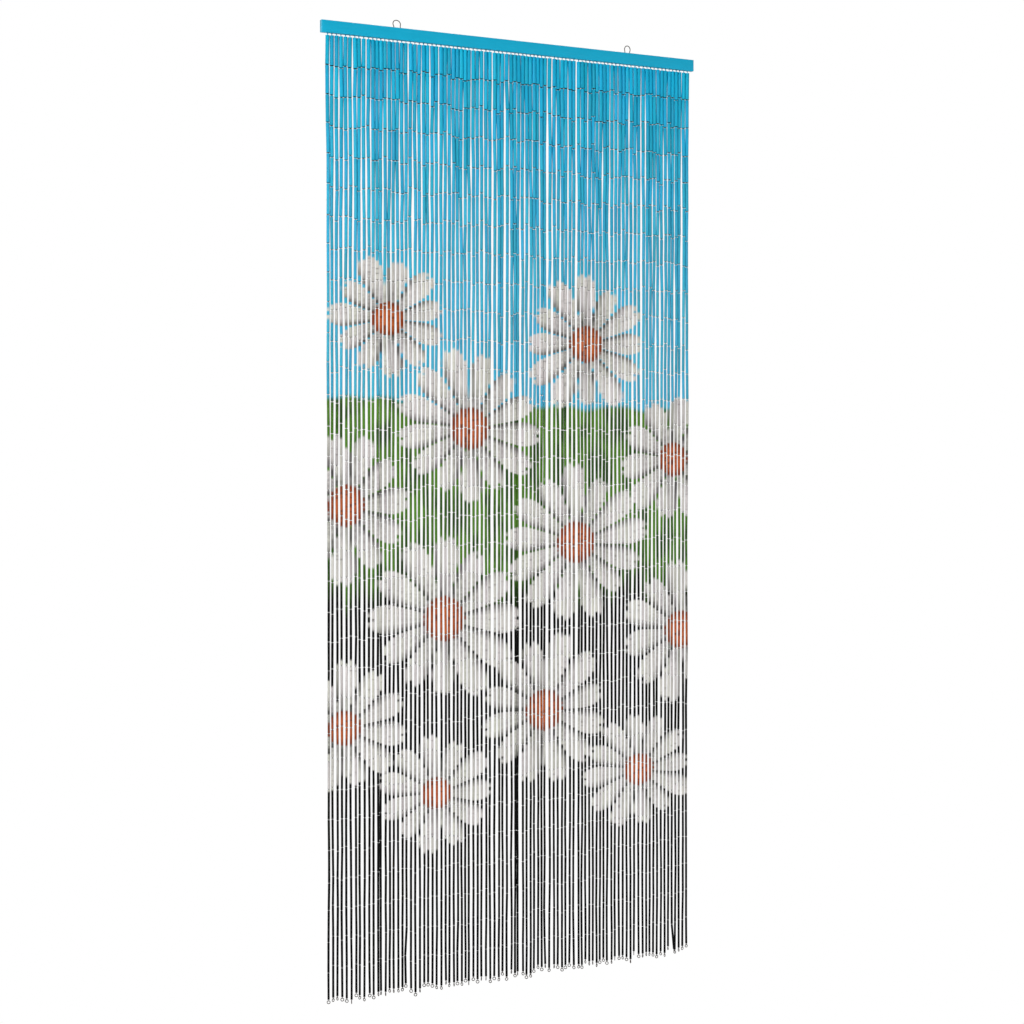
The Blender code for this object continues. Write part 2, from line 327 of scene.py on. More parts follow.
@dataclass(frozen=True)
class CurtainPicture:
    """The picture sprayed on the strands: sky, meadow, dark ground and white blossoms."""

    sky_top: Colour = from_screen(12, 163, 199)
    sky_foot: Colour = from_screen(64, 161, 190)
    sky_ends: float = -0.62
    meadow: Colour = from_screen(76, 120, 40)
    meadow_shade: Colour = from_screen(40, 70, 28)
    meadow_starts: float = -0.775
    ground: Colour = from_screen(2, 2, 2)
    ground_tint: Colour = from_screen(14, 18, 10)
    ground_starts: float = -1.150
    roll: float = 0.055
    petal_light: Colour = from_screen(193, 193, 187)
    petal_shade: Colour = from_screen(82, 82, 79)
    heart_light: Colour = from_screen(170, 88, 46)
    heart_dark: Colour = from_screen(80, 26, 18)
    heart_share: float = 0.250

    def backdrop(self, bench: NodeBench, across: object, height: object) -> bpy.types.NodeSocket:
        """Paints the sky, the meadow and the ground.

        Args:
            bench: The tree that takes the nodes.
            across: Place along the headrail.
            height: Height, negative below the headrail.

        Returns:
            The colour behind the blossoms.
        """
        spot = bench.add("ShaderNodeCombineXYZ")
        bench.feed(spot.inputs[0], across)
        bench.feed(spot.inputs[2], height)
        rolling = bench.noise(bench.stretched(spot.outputs[0], (1.0, 1.0, 0.15)), 5.0)
        rolling = bench.math("SUBTRACT", rolling, 0.5)
        blades = bench.noise(bench.stretched(spot.outputs[0], (1.0, 1.0, 0.10)), 46.0)
        blades = bench.math("SUBTRACT", blades, 0.5)
        level = bench.math("MULTIPLY_ADD", rolling, 2 * self.roll, height)
        tufts = bench.math("MULTIPLY_ADD", blades, 4 * self.roll, level)
        sky = bench.blend(
            bench.ramp(height, 0.0, self.sky_ends, smooth=False), (*self.sky_top, 1.0), (*self.sky_foot, 1.0)
        )
        leaves = bench.noise(bench.stretched(spot.outputs[0], (1.0, 1.0, 0.35)), 30.0, 3.0)
        meadow = bench.blend(
            bench.ramp(leaves, 0.42, 0.62), (*self.meadow, 1.0), (*self.meadow_shade, 1.0)
        )
        stalks = bench.noise(bench.stretched(spot.outputs[0], (1.0, 1.0, 0.12)), 24.0, 1.0)
        ground = bench.blend(bench.ramp(stalks, 0.58, 0.78), (*self.ground, 1.0), (*self.ground_tint, 1.0))
        lower = bench.blend(
            bench.ramp(tufts, self.ground_starts + 0.05, self.ground_starts - 0.05), meadow, ground
        )
        return bench.blend(
            bench.ramp(level, self.meadow_starts + 0.008, self.meadow_starts - 0.008), sky, lower
        )

    def blossom_group(self) -> bpy.types.NodeTree:
        """Builds the group that paints one blossom over what is behind it.

        Returns:
            The group.
        """
        sizes = ("Centre Across", "Centre Height", "Reach", "Reach Up", "Petals", "Turn")
        inputs = {"Under": "Color", "Across": "Float", "Height": "Float"}
        inputs.update({label: "Float" for label in sizes})
        group = shader_group("Painted blossom", inputs, {"Color": "Color"})
        bench = NodeBench(group)
        given = bench.add("NodeGroupInput").outputs
        right = bench.math("SUBTRACT", given["Across"], given["Centre Across"])
        right = bench.math("DIVIDE", right, given["Reach"])
        up = bench.math("SUBTRACT", given["Height"], given["Centre Height"])
        up = bench.math("DIVIDE", up, given["Reach Up"])
        square = bench.math("ADD", bench.math("MULTIPLY", right, right), bench.math("MULTIPLY", up, up))
        out = bench.math("SQRT", square)
        angle = bench.math("ARCTAN2", up, right)
        turns = bench.math("MULTIPLY", angle, 1.0 / math.tau)
        count = bench.math("MULTIPLY_ADD", turns, given["Petals"], given["Turn"])
        count = bench.math("ADD", count, given["Petals"])
        from_rim = bench.math("FRACT", count)
        aside = bench.math("ABSOLUTE", bench.math("SUBTRACT", from_rim, 0.5))
        which = bench.math("MODULO", bench.math("FLOOR", count), given["Petals"])
        key = bench.add("ShaderNodeCombineXYZ")
        bench.feed(key.inputs[0], which)
        bench.feed(key.inputs[1], given["Centre Across"])
        dice = bench.add("ShaderNodeTexWhiteNoise", noise_dimensions="3D")
        bench.feed(dice.inputs["Vector"], key.outputs[0])
        luck = dice.outputs["Value"]
        tip = bench.math("MULTIPLY_ADD", bench.math("POWER", aside, 2.4), -1.6, 1.0)
        tip = bench.math("MULTIPLY_ADD", luck, -0.16, tip)
        notch = bench.math("MULTIPLY", bench.ramp(aside, 0.09, 0.0), 0.07)
        tip = bench.math("SUBTRACT", tip, notch)
        in_reach = bench.math("DIVIDE", bench.math("SUBTRACT", tip, out), 0.035, clamp=True)
        width = bench.math("MULTIPLY_ADD", bench.math("POWER", out, 4.0), -0.16, 0.505)
        in_width = bench.math("DIVIDE", bench.math("SUBTRACT", width, aside), 0.05, clamp=True)
        petal = bench.math("MULTIPLY", in_reach, in_width)
        base_dusk = bench.math("MULTIPLY", bench.ramp(out, 0.62, 0.15), 0.42)
        rim_dusk = bench.math("MULTIPLY", bench.ramp(from_rim, 0.58, 1.0), 0.85)
        crease = bench.math("MULTIPLY", bench.ramp(aside, 0.05, 0.0), bench.ramp(out, 0.90, 0.35))
        veins = bench.math("COSINE", bench.math("MULTIPLY", from_rim, 44.0))
        veins = bench.math("MULTIPLY_ADD", veins, 0.09, 0.09)
        veins = bench.math("MULTIPLY", veins, bench.ramp(out, 1.0, 0.3))
        dusk = bench.math("ADD", base_dusk, rim_dusk)
        dusk = bench.math("ADD", dusk, bench.math("MULTIPLY", crease, 0.30))
        dusk = bench.math("ADD", dusk, veins)
        dusk = bench.math("ADD", dusk, bench.math("MULTIPLY", luck, 0.12), clamp=True)
        seeds = bench.add("ShaderNodeCombineXYZ")
        bench.feed(seeds.inputs[0], right)
        bench.feed(seeds.inputs[2], up)
        grain = bench.noise(seeds.outputs[0], 26.0, 1.0)
        smudges = bench.math("MULTIPLY", bench.ramp(grain, 0.58, 0.74), 0.55)
        dusk = bench.math("MAXIMUM", dusk, smudges)
        leaf = bench.blend(dusk, (*self.petal_light, 1.0), (*self.petal_shade, 1.0))
        flower = bench.blend(petal, given["Under"], leaf)
        ragged = bench.math("MULTIPLY_ADD", grain, 0.07, bench.math("SUBTRACT", out, 0.035))
        heart = bench.ramp(ragged, self.heart_share + 0.012, self.heart_share - 0.012)
        rim = bench.ramp(ragged, self.heart_share * 0.45, self.heart_share)
        speckle = bench.math("MULTIPLY", bench.ramp(grain, 0.52, 0.64), 0.7)
        darkness = bench.math("MAXIMUM", bench.math("MULTIPLY", rim, 0.7), speckle)
        button = bench.blend(darkness, (*self.heart_light, 1.0), (*self.heart_dark, 1.0))
        done = bench.blend(heart, flower, button)
        bench.feed(bench.add("NodeGroupOutput").inputs["Color"], done)
        return group

    def group(self) -> bpy.types.NodeTree:
        """Builds the group that gives the paint's colour at a place on the curtain.

        Returns:
            The group, with inputs Across and Height and output Color.
        """
        picture = shader_group("Curtain picture", {"Across": "Float", "Height": "Float"}, {"Color": "Color"})
        bench = NodeBench(picture)
        given = bench.add("NodeGroupInput").outputs
        colour = self.backdrop(bench, given["Across"], given["Height"])
        painted = self.blossom_group()
        for blossom in BLOSSOMS:
            node = bench.add("ShaderNodeGroup", node_tree=painted)
            bench.feed(node.inputs["Under"], colour)
            bench.feed(node.inputs["Across"], given["Across"])
            bench.feed(node.inputs["Height"], given["Height"])
            node.inputs["Centre Across"].default_value = blossom.across
            node.inputs["Centre Height"].default_value = blossom.height
            node.inputs["Reach"].default_value = blossom.reach
            node.inputs["Reach Up"].default_value = blossom.reach * blossom.flatness
            node.inputs["Petals"].default_value = float(blossom.petals)
            node.inputs["Turn"].default_value = blossom.turn
            colour = node.outputs["Color"]
        bench.feed(bench.add("NodeGroupOutput").inputs["Color"], colour)
        return picture


@dataclass(frozen=True)
class Finish:
    """A surface finish that a material is built from."""

    name: str

    def start(self) -> tuple[bpy.types.Material, NodeBench, bpy.types.Node]:
        """Starts the material.

        Returns:
            The material, a bench on its tree and its Principled shader.
        """
        material = bpy.data.materials.new(self.name)
        material.use_nodes = True
        bench = NodeBench(material.node_tree)
        return material, bench, material.node_tree.nodes["Principled BSDF"]

    def object_place(self, bench: NodeBench) -> bpy.types.NodeSocket:
        """Returns the object coordinates."""
        return bench.add("ShaderNodeTexCoord").outputs["Object"]

    def relief(self, bench: NodeBench, shader: bpy.types.Node, height: object, depth: float) -> None:
        """Gives the shader a fine relief.

        Args:
            bench: The material's bench.
            shader: The Principled shader.
            height: The relief's height, from 0 to 1.
            depth: The depth of the relief in metres.
        """
        bump = bench.add("ShaderNodeBump")
        bump.inputs["Distance"].default_value = depth
        bench.feed(bump.inputs["Height"], height)
        bench.feed(shader.inputs["Normal"], bump.outputs["Normal"])


@dataclass(frozen=True)
class PaintedBamboo(Finish):
    """Satin paint sprayed over bamboo, with the bore, both cut ends and a thin band at each tube's foot
    coloured near-black as painted shade of the hollow and the joint.
    """

    picture: CurtainPicture = field(default_factory=CurtainPicture)
    bare: Colour = from_screen(150, 118, 74)
    greener: Colour = (1.0, 1.0, 0.94)
    bluer: Colour = (1.0, 0.93, 1.0)
    # Near-black painted shade for the bore, the cut ends and the foot band; bare bamboo itself is far paler.
    hollow_shade: Colour = from_screen(12, 12, 12)
    roughness: float = 0.46

    def build(self) -> bpy.types.Material:
        """Builds the material, which reads each tube's own strand, tone and hollow faces."""
        material, bench, shader = self.start()
        place = self.object_place(bench)
        height = bench.add("ShaderNodeSeparateXYZ")
        bench.feed(height.inputs[0], place)
        strand = bench.add("ShaderNodeAttribute", attribute_name="strand_across").outputs["Fac"]
        tone = bench.add("ShaderNodeAttribute", attribute_name="tone").outputs["Fac"]
        hollow = bench.add("ShaderNodeAttribute", attribute_name="hollow").outputs["Fac"]
        paint = bench.add("ShaderNodeGroup", node_tree=self.picture.group())
        bench.feed(paint.inputs["Across"], strand)
        bench.feed(paint.inputs["Height"], height.outputs["Z"])
        fibres = bench.noise(bench.stretched(place, (1.0, 1.0, 0.02)), 2600.0, 3.0)
        patches = bench.noise(bench.stretched(place, (1.0, 1.0, 0.4)), 160.0, 2.0)
        shift = bench.math("MULTIPLY_ADD", tone, 0.26, 0.87)
        shift = bench.math("MULTIPLY_ADD", bench.math("SUBTRACT", fibres, 0.5), 0.30, shift)
        shift = bench.math("MULTIPLY_ADD", bench.math("SUBTRACT", patches, 0.5), 0.16, shift)
        toned = bench.add("ShaderNodeVectorMath", operation="SCALE")
        bench.feed(toned.inputs[0], paint.outputs["Color"])
        bench.feed(toned.inputs["Scale"], shift)
        lot = bench.math("FRACT", bench.math("MULTIPLY", tone, 7.3))
        tint = bench.blend(lot, (*self.greener, 1.0), (*self.bluer, 1.0))
        tinted = bench.blend(1.0, toned.outputs[0], tint, "MULTIPLY")
        worn = bench.math("MULTIPLY", bench.ramp(patches, 0.70, 0.80), bench.ramp(fibres, 0.50, 0.60))
        skin = bench.blend(bench.math("MULTIPLY", worn, 0.35), tinted, (*self.bare, 1.0))
        # Faces marked hollow take the near-black painted shade, standing in for the shade in the bore and at
        # the joint under each tube.
        colour = bench.blend(hollow, skin, (*self.hollow_shade, 1.0))
        bench.feed(shader.inputs["Base Color"], colour)
        rough = bench.math("MULTIPLY_ADD", fibres, 0.18, self.roughness - 0.09)
        bench.feed(shader.inputs["Roughness"], bench.math("MULTIPLY_ADD", hollow, 0.3, rough))
        shader.inputs["Specular IOR Level"].default_value = 0.08
        self.relief(bench, shader, fibres, 0.00012)
        return material


@dataclass(frozen=True)
class PaintedWood(Finish):
    """Brushed satin paint on a sawn lath, with the grain showing faintly."""

    paint: Colour = from_screen(18, 161, 196)
    pale: Colour = from_screen(96, 176, 202)
    half_length: float = 0.45
    end_depth: float = 0.0006
    roughness: float = 0.42

    def build(self) -> bpy.types.Material:
        """Builds the material, paler where the paint is thin on the end grain and in streaks along the
        grain.
        """
        material, bench, shader = self.start()
        place = self.object_place(bench)
        spot = bench.add("ShaderNodeSeparateXYZ")
        bench.feed(spot.inputs[0], place)
        grain = bench.noise(bench.stretched(place, (0.025, 1.0, 1.0)), 900.0, 4.0)
        brushing = bench.noise(bench.stretched(place, (0.04, 1.0, 1.0)), 260.0, 2.0)
        clouds = bench.noise(place, 14.0, 2.0)
        along = bench.math("ABSOLUTE", spot.outputs["X"])
        end = bench.ramp(along, self.half_length - self.end_depth, self.half_length)
        thin = bench.math("MULTIPLY", bench.ramp(grain, 0.60, 0.72), 0.12)
        paleness = bench.math("MAXIMUM", bench.math("MULTIPLY", end, 0.75), thin)
        shift = bench.math("MULTIPLY_ADD", bench.math("SUBTRACT", clouds, 0.5), 0.10, 1.0)
        shift = bench.math("MULTIPLY_ADD", bench.math("SUBTRACT", brushing, 0.5), 0.10, shift)
        toned = bench.add("ShaderNodeVectorMath", operation="SCALE")
        bench.feed(toned.inputs[0], bench.blend(paleness, (*self.paint, 1.0), (*self.pale, 1.0)))
        bench.feed(toned.inputs["Scale"], shift)
        bench.feed(shader.inputs["Base Color"], toned.outputs[0])
        rough = bench.math("MULTIPLY_ADD", brushing, 0.16, self.roughness - 0.08)
        bench.feed(shader.inputs["Roughness"], rough)
        shader.inputs["Specular IOR Level"].default_value = 0.14
        self.relief(bench, shader, bench.math("ADD", grain, brushing), 0.00015)
        return material


@dataclass(frozen=True)
class DrawnWire(Finish):
    """Plain drawn wire, a little stained."""

    metal: Colour = from_screen(84, 79, 73)
    stain: Colour = from_screen(58, 46, 35)
    stain_share: float = 0.5
    roughness: float = 0.34
    metallic: float = 1.0

    def build(self) -> bpy.types.Material:
        """Builds the material, with draw marks and brown stains."""
        material, bench, shader = self.start()
        place = self.object_place(bench)
        stains = bench.noise(place, 210.0, 3.0)
        marks = bench.noise(place, 2400.0, 2.0)
        share = bench.math("MULTIPLY", bench.ramp(stains, 0.45, 0.70), self.stain_share)
        bench.feed(shader.inputs["Base Color"], bench.blend(share, (*self.metal, 1.0), (*self.stain, 1.0)))
        rough = bench.math("MULTIPLY_ADD", stains, 0.30, self.roughness - 0.15)
        bench.feed(shader.inputs["Roughness"], rough)
        shader.inputs["Metallic"].default_value = self.metallic
        self.relief(bench, shader, marks, 0.00003)
        return material


class Strands:
    """The hanging strands, with their joints where the solids have them."""

    COUNT = 90
    SPAN = 0.869
    PITCH = SPAN / (COUNT - 1)
    SEED = 41

    # How far each strand hangs from an even spacing, in tenths of a millimetre from the left
    SHIFTS = (
        -6, -11, -10, -6, 0, 3, 11, 4, 14, 26, 24, 27, -7, -1, 3, -7, -5, -3, -4, -2, 4, 8, 11, 5, 13,
        11, 29, 29, 20, 27, 21, 14, 8, -5, 4, 6, 3, 14, 6, 25, 30, 16, 25, 43, 39, -7, 26, 17, 22, 12,
        9, 0, -27, 2, 22, 10, 24, 5, 16, 21, 45, 33, 25, 25, 17, 15, 13, 5, -6, 3, 4, 6, 9, 6, 7, 13,
        18, 33, 34, 24, 22, 23, 33, 28, 31, 19, 15, 9, 24, 20,
    )
    FIRST_TUBE_TOP = -0.0298
    FIRST_TUBE_SPREAD = 0.0004
    TUBES = 32
    TUBE_LENGTH = 0.0600
    TUBE_GAP = 0.0013
    DIAMETERS = (
        (0, 0.0090),
        (1, 0.0086),
        (2, 0.0082),
        (4, 0.0075),
        (8, 0.0066),
        (16, 0.0056),
        (24, 0.0052),
        (31, 0.0050),
    )
    HEIGHT_SPREAD = 0.0032
    HEIGHT_KEPT = 0.72
    HEIGHT_LIMIT = 1.8
    SIDE_STRANDS_SHORTER = 0.0028
    RISE_TO_RIGHT = 0.0085
    SWAY_ALONG = ((0, 0.0002), (1, 0.0009), (8, 0.0008), (14, 0.0004), (32, 0.0004))
    SWAY_OUT = ((0, 0.0003), (2, 0.0008), (32, 0.0008))
    SWAY_KEPT = 0.65
    SWAY_LIMIT = 1.7
    TOUCH_GAP = 0.0001
    SPREAD_PASSES = 12
    LONG_STRANDS = {0: 0.003, 2: 0.005, 8: 0.003, 20: 0.009, 48: 0.004, 53: 0.005, 85: 0.005}
    PUSHED_JOINTS = (
        (18, 31, -0.0016, 0.0018),
        (18, 32, -0.0016, 0.0018),
        (52, 32, 0.0010, -0.0020),
        (85, 31, 0.0004, -0.0010),
        (85, 32, 0.0032, -0.0050),
    )
    RING_DIAMETER = 0.0078
    RING_WIRE = 0.0010
    RING_STEM = 0.0015

    def __init__(self) -> None:
        """Hangs every strand and spreads the tubes that would overlap until they touch."""
        self.lines = [self.hanging_line(number) for number in range(self.COUNT)]
        for joint in range(self.TUBES + 1):
            room = between(self.DIAMETERS, max(joint - 1, 0)) + self.TOUCH_GAP
            for _ in range(self.SPREAD_PASSES):
                for left, right in zip(self.lines, self.lines[1:]):
                    short = max(0.0, room - (right[joint].x - left[joint].x))
                    left[joint].x -= short / 2
                    right[joint].x += short / 2

    def even_place(self, number: int) -> float:
        """Returns a strand's place along the headrail if all were evenly spaced."""
        return (number - (self.COUNT - 1) / 2) * self.PITCH

    def limited(self, stray: float, most: float) -> float:
        """Keeps a stray, in standard deviations, within a limit."""
        return max(-most, min(most, stray))

    def hanging_line(self, number: int) -> list[Vector]:
        """Works out one strand's joints as it hangs by itself.

        Args:
            number: The strand, counted from the left.

        Returns:
            The top of each tube, and the foot of the last.
        """
        draw = random.Random(self.SEED * self.COUNT + number)
        across = self.even_place(number) + self.SHIFTS[number] * 0.0001
        share = 2 * self.even_place(number) / self.SPAN
        shorter = self.SIDE_STRANDS_SHORTER * share**2 + self.RISE_TO_RIGHT * share / 2
        longer = self.LONG_STRANDS.get(number, 0.0) - shorter
        stray_x = draw.gauss(0.0, 1.0)
        stray_y = draw.gauss(0.0, 1.0)
        stray_z = draw.uniform(-self.FIRST_TUBE_SPREAD, self.FIRST_TUBE_SPREAD)
        fresh = math.sqrt(1.0 - self.SWAY_KEPT**2)
        joints = []
        for joint in range(self.TUBES + 1):
            x = across + between(self.SWAY_ALONG, joint) * self.limited(stray_x, self.SWAY_LIMIT)
            y = between(self.SWAY_OUT, joint) * self.limited(stray_y, self.SWAY_LIMIT)
            level = self.FIRST_TUBE_TOP - joint * (self.TUBE_LENGTH + self.TUBE_GAP + longer / self.TUBES)
            joints.append(Vector((x, y, level + stray_z)))
            stray_x = self.SWAY_KEPT * stray_x + fresh * draw.gauss(0.0, 1.0)
            stray_y = self.SWAY_KEPT * stray_y + fresh * draw.gauss(0.0, 1.0)
            uneven = self.limited(draw.gauss(0.0, 1.0), self.HEIGHT_LIMIT)
            stray_z = self.HEIGHT_KEPT * stray_z + self.HEIGHT_SPREAD * uneven
        joints[-1].z += self.TUBE_GAP
        for strand, joint, shift_x, shift_y in self.PUSHED_JOINTS:
            if strand == number:
                joints[joint] += Vector((shift_x, shift_y, 0.0))
        return joints

    def ring_turn(self, number: int) -> float:
        """Returns the turn of a strand's end ring, more edge on where its neighbours hang close.

        Args:
            number: The strand, counted from the left.

        Returns:
            The turn about the vertical, in radians.
        """
        turn = random.Random(self.SEED + number).uniform(-math.pi / 2, math.pi / 2)
        foot = self.lines[number][-1].x
        beside = [line[-1].x for line in self.lines[max(number - 1, 0) : number + 2]]
        spacing = min(abs(x - foot) for x in beside if x != foot)
        widest = min(1.0, (spacing - self.RING_WIRE) / self.RING_DIAMETER)
        return math.copysign(max(abs(turn), math.acos(widest)), turn)

    def tube_ends(self, number: int, row: int) -> tuple[Vector, Vector]:
        """Finds the ends of one tube.

        Args:
            number: The strand, counted from the left.
            row: The tube's row, counted from the top.

        Returns:
            The middle of the tube's top end and of its foot.
        """
        top, below = self.lines[number][row : row + 2]
        lift = self.TUBE_GAP if row < self.TUBES - 1 else 0.0
        return top.copy(), below + Vector((0.0, 0.0, lift))


@dataclass
class Places:
    """Points that take one repeated shape, with what each copy needs."""

    spots: list[Vector] = field(default_factory=list)
    aims: list[Vector] = field(default_factory=list)
    widths: list[float] = field(default_factory=list)
    lengths: list[float] = field(default_factory=list)
    turns: list[float] = field(default_factory=list)
    columns: list[int] = field(default_factory=list)

    def put(self, top: Vector, foot: Vector, width: float, turn: float, column: int) -> None:
        """Adds a copy.

        Args:
            top: The middle of the copy's top end.
            foot: The middle of its lower end.
            width: Its width.
            turn: Its turn about its length.
            column: Its strand's place in the group.
        """
        self.spots.append((top + foot) / 2)
        self.aims.append((top - foot).normalized())
        self.widths.append(width)
        self.lengths.append((top - foot).length)
        self.turns.append(turn)
        self.columns.append(column)

    def cloud(self, name: str) -> bpy.types.Object:
        """Makes an object of loose vertices that hold the copies' sizes.

        Args:
            name: The object's name.

        Returns:
            The object, linked to the scene.
        """
        mesh = bpy.data.meshes.new(name)
        mesh.from_pydata([tuple(spot) for spot in self.spots], [], [])
        aims = mesh.attributes.new("aim", "FLOAT_VECTOR", "POINT")
        aims.data.foreach_set("vector", np.array([tuple(aim) for aim in self.aims]).ravel())
        numbers = {
            "width": self.widths,
            "length": self.lengths,
            "turn": self.turns,
            "column": self.columns,
            "strand_across": [spot.x for spot in self.spots],
            "middle": [spot.z for spot in self.spots],
        }
        for label, values in numbers.items():
            attribute = mesh.attributes.new(label, "FLOAT", "POINT")
            attribute.data.foreach_set("value", np.array(values, dtype=np.float32))
        thing = bpy.data.objects.new(name, mesh)
        bpy.context.scene.collection.objects.link(thing)
        return thing


class Repeater:
    """A Geometry Nodes tree that sets a shape on points, sizes it and makes it uneven."""

    SIZES = {"Shape Width": 0.006, "Shape Length": 0.06, "Unevenness": 0.0, "Unevenness Scale": 60.0}
    SHEET = {"Columns": 30.0, "Sheet Foot": -2.1, "Sheet Height": 2.15}

    def __init__(self) -> None:
        """Builds the tree once, for every kind of copy."""
        self.tree = bpy.data.node_groups.new("Hung copies", "GeometryNodeTree")
        face = self.tree.interface
        face.new_socket("Geometry", in_out="INPUT", socket_type="NodeSocketGeometry")
        face.new_socket("Shape", in_out="INPUT", socket_type="NodeSocketObject")
        face.new_socket("Finish", in_out="INPUT", socket_type="NodeSocketMaterial")
        face.new_socket("Seed", in_out="INPUT", socket_type="NodeSocketInt")
        for label, value in {**self.SIZES, **self.SHEET}.items():
            face.new_socket(label, in_out="INPUT", socket_type="NodeSocketFloat").default_value = value
        face.new_socket("Geometry", in_out="OUTPUT", socket_type="NodeSocketGeometry")
        self.bench = NodeBench(self.tree)
        self.given = self.bench.add("NodeGroupInput").outputs
        copies = self.set_out()
        solid = self.bench.add("GeometryNodeRealizeInstances")
        self.bench.feed(solid.inputs["Geometry"], copies)
        uneven = self.made_uneven(solid.outputs["Geometry"])
        laid = self.laid_flat(uneven)
        dressed = self.bench.add("GeometryNodeSetMaterial")
        self.bench.feed(dressed.inputs["Geometry"], laid)
        self.bench.feed(dressed.inputs["Material"], self.given["Finish"])
        self.bench.feed(self.bench.add("NodeGroupOutput").inputs["Geometry"], dressed.outputs["Geometry"])

    def number(self, label: str) -> bpy.types.NodeSocket:
        """Returns a number that is kept under a name on the geometry."""
        node = self.bench.add("GeometryNodeInputNamedAttribute", data_type="FLOAT")
        node.inputs["Name"].default_value = label
        return node.outputs["Attribute"]

    def set_out(self) -> bpy.types.NodeSocket:
        """Puts a sized and turned copy of the shape on each point.

        Returns:
            The copies, each with a random tone.
        """
        bench = self.bench
        aim = bench.add("GeometryNodeInputNamedAttribute", data_type="FLOAT_VECTOR")
        aim.inputs["Name"].default_value = "aim"
        aligned = bench.add("FunctionNodeAlignRotationToVector", axis="Z")
        bench.feed(aligned.inputs["Vector"], aim.outputs["Attribute"])
        spun = bench.add("FunctionNodeAxisAngleToRotation")
        bench.feed(spun.inputs["Angle"], self.number("turn"))
        turned = bench.add("FunctionNodeRotateRotation", rotation_space="LOCAL")
        bench.feed(turned.inputs["Rotation"], aligned.outputs[0])
        bench.feed(turned.inputs["Rotate By"], spun.outputs[0])
        wide = bench.math("DIVIDE", self.number("width"), self.given["Shape Width"])
        long = bench.math("DIVIDE", self.number("length"), self.given["Shape Length"])
        size = bench.add("ShaderNodeCombineXYZ")
        for socket, value in zip(size.inputs, (wide, wide, long)):
            bench.feed(socket, value)
        shape = bench.add("GeometryNodeObjectInfo")
        bench.feed(shape.inputs["Object"], self.given["Shape"])
        copies = bench.add("GeometryNodeInstanceOnPoints")
        bench.feed(copies.inputs["Points"], self.given["Geometry"])
        bench.feed(copies.inputs["Instance"], shape.outputs["Geometry"])
        bench.feed(copies.inputs["Rotation"], turned.outputs[0])
        bench.feed(copies.inputs["Scale"], size.outputs[0])
        tone = bench.add("FunctionNodeRandomValue", data_type="FLOAT")
        bench.feed(tone.inputs["Seed"], self.given["Seed"])
        kept = bench.add("GeometryNodeStoreNamedAttribute", data_type="FLOAT", domain="INSTANCE")
        kept.inputs["Name"].default_value = "tone"
        bench.feed(kept.inputs["Geometry"], copies.outputs["Instances"])
        bench.feed(kept.inputs["Value"], tone.outputs[1])
        return kept.outputs["Geometry"]

    def made_uneven(self, geometry: bpy.types.NodeSocket) -> bpy.types.NodeSocket:
        """Moves the surface in and out a little.

        Args:
            geometry: The real copies.

        Returns:
            The moved geometry.
        """
        bench = self.bench
        lumps = bench.add("ShaderNodeTexNoise", noise_dimensions="4D")
        bench.feed(lumps.inputs["W"], self.given["Seed"])
        bench.feed(lumps.inputs["Scale"], self.given["Unevenness Scale"])
        lumps.inputs["Detail"].default_value = 1.0
        amount = bench.math("SUBTRACT", lumps.outputs["Fac"], 0.5)
        amount = bench.math("MULTIPLY", amount, self.given["Unevenness"])
        offset = bench.add("ShaderNodeVectorMath", operation="SCALE")
        bench.feed(offset.inputs[0], bench.add("GeometryNodeInputNormal").outputs["Normal"])
        bench.feed(offset.inputs["Scale"], bench.math("MULTIPLY", amount, 2.0))
        moved = bench.add("GeometryNodeSetPosition")
        bench.feed(moved.inputs["Geometry"], geometry)
        bench.feed(moved.inputs["Offset"], offset.outputs[0])
        return moved.outputs["Geometry"]

    def laid_flat(self, geometry: bpy.types.NodeSocket) -> bpy.types.NodeSocket:
        """Lays each copy flat on a sheet: its strand's column, at its own height.

        Args:
            geometry: The real copies.

        Returns:
            The geometry with a UV map.
        """
        bench = self.bench
        cell = bench.add("GeometryNodeInputNamedAttribute", data_type="FLOAT_VECTOR")
        cell.inputs["Name"].default_value = "cell"
        parts = bench.add("ShaderNodeSeparateXYZ")
        bench.feed(parts.inputs[0], cell.outputs["Attribute"])
        column = bench.math("ADD", self.number("column"), parts.outputs["X"])
        height = bench.math("MULTIPLY_ADD", parts.outputs["Y"], self.number("length"), self.number("middle"))
        height = bench.math("SUBTRACT", height, self.given["Sheet Foot"])
        flat = bench.add("ShaderNodeCombineXYZ")
        bench.feed(flat.inputs[0], bench.math("DIVIDE", column, self.given["Columns"]))
        bench.feed(flat.inputs[1], bench.math("DIVIDE", height, self.given["Sheet Height"]))
        sheet = bench.add("GeometryNodeStoreNamedAttribute", data_type="FLOAT2", domain="CORNER")
        sheet.inputs["Name"].default_value = "OFBake"
        bench.feed(sheet.inputs["Geometry"], geometry)
        bench.feed(sheet.inputs["Value"], flat.outputs[0])
        return sheet.outputs["Geometry"]

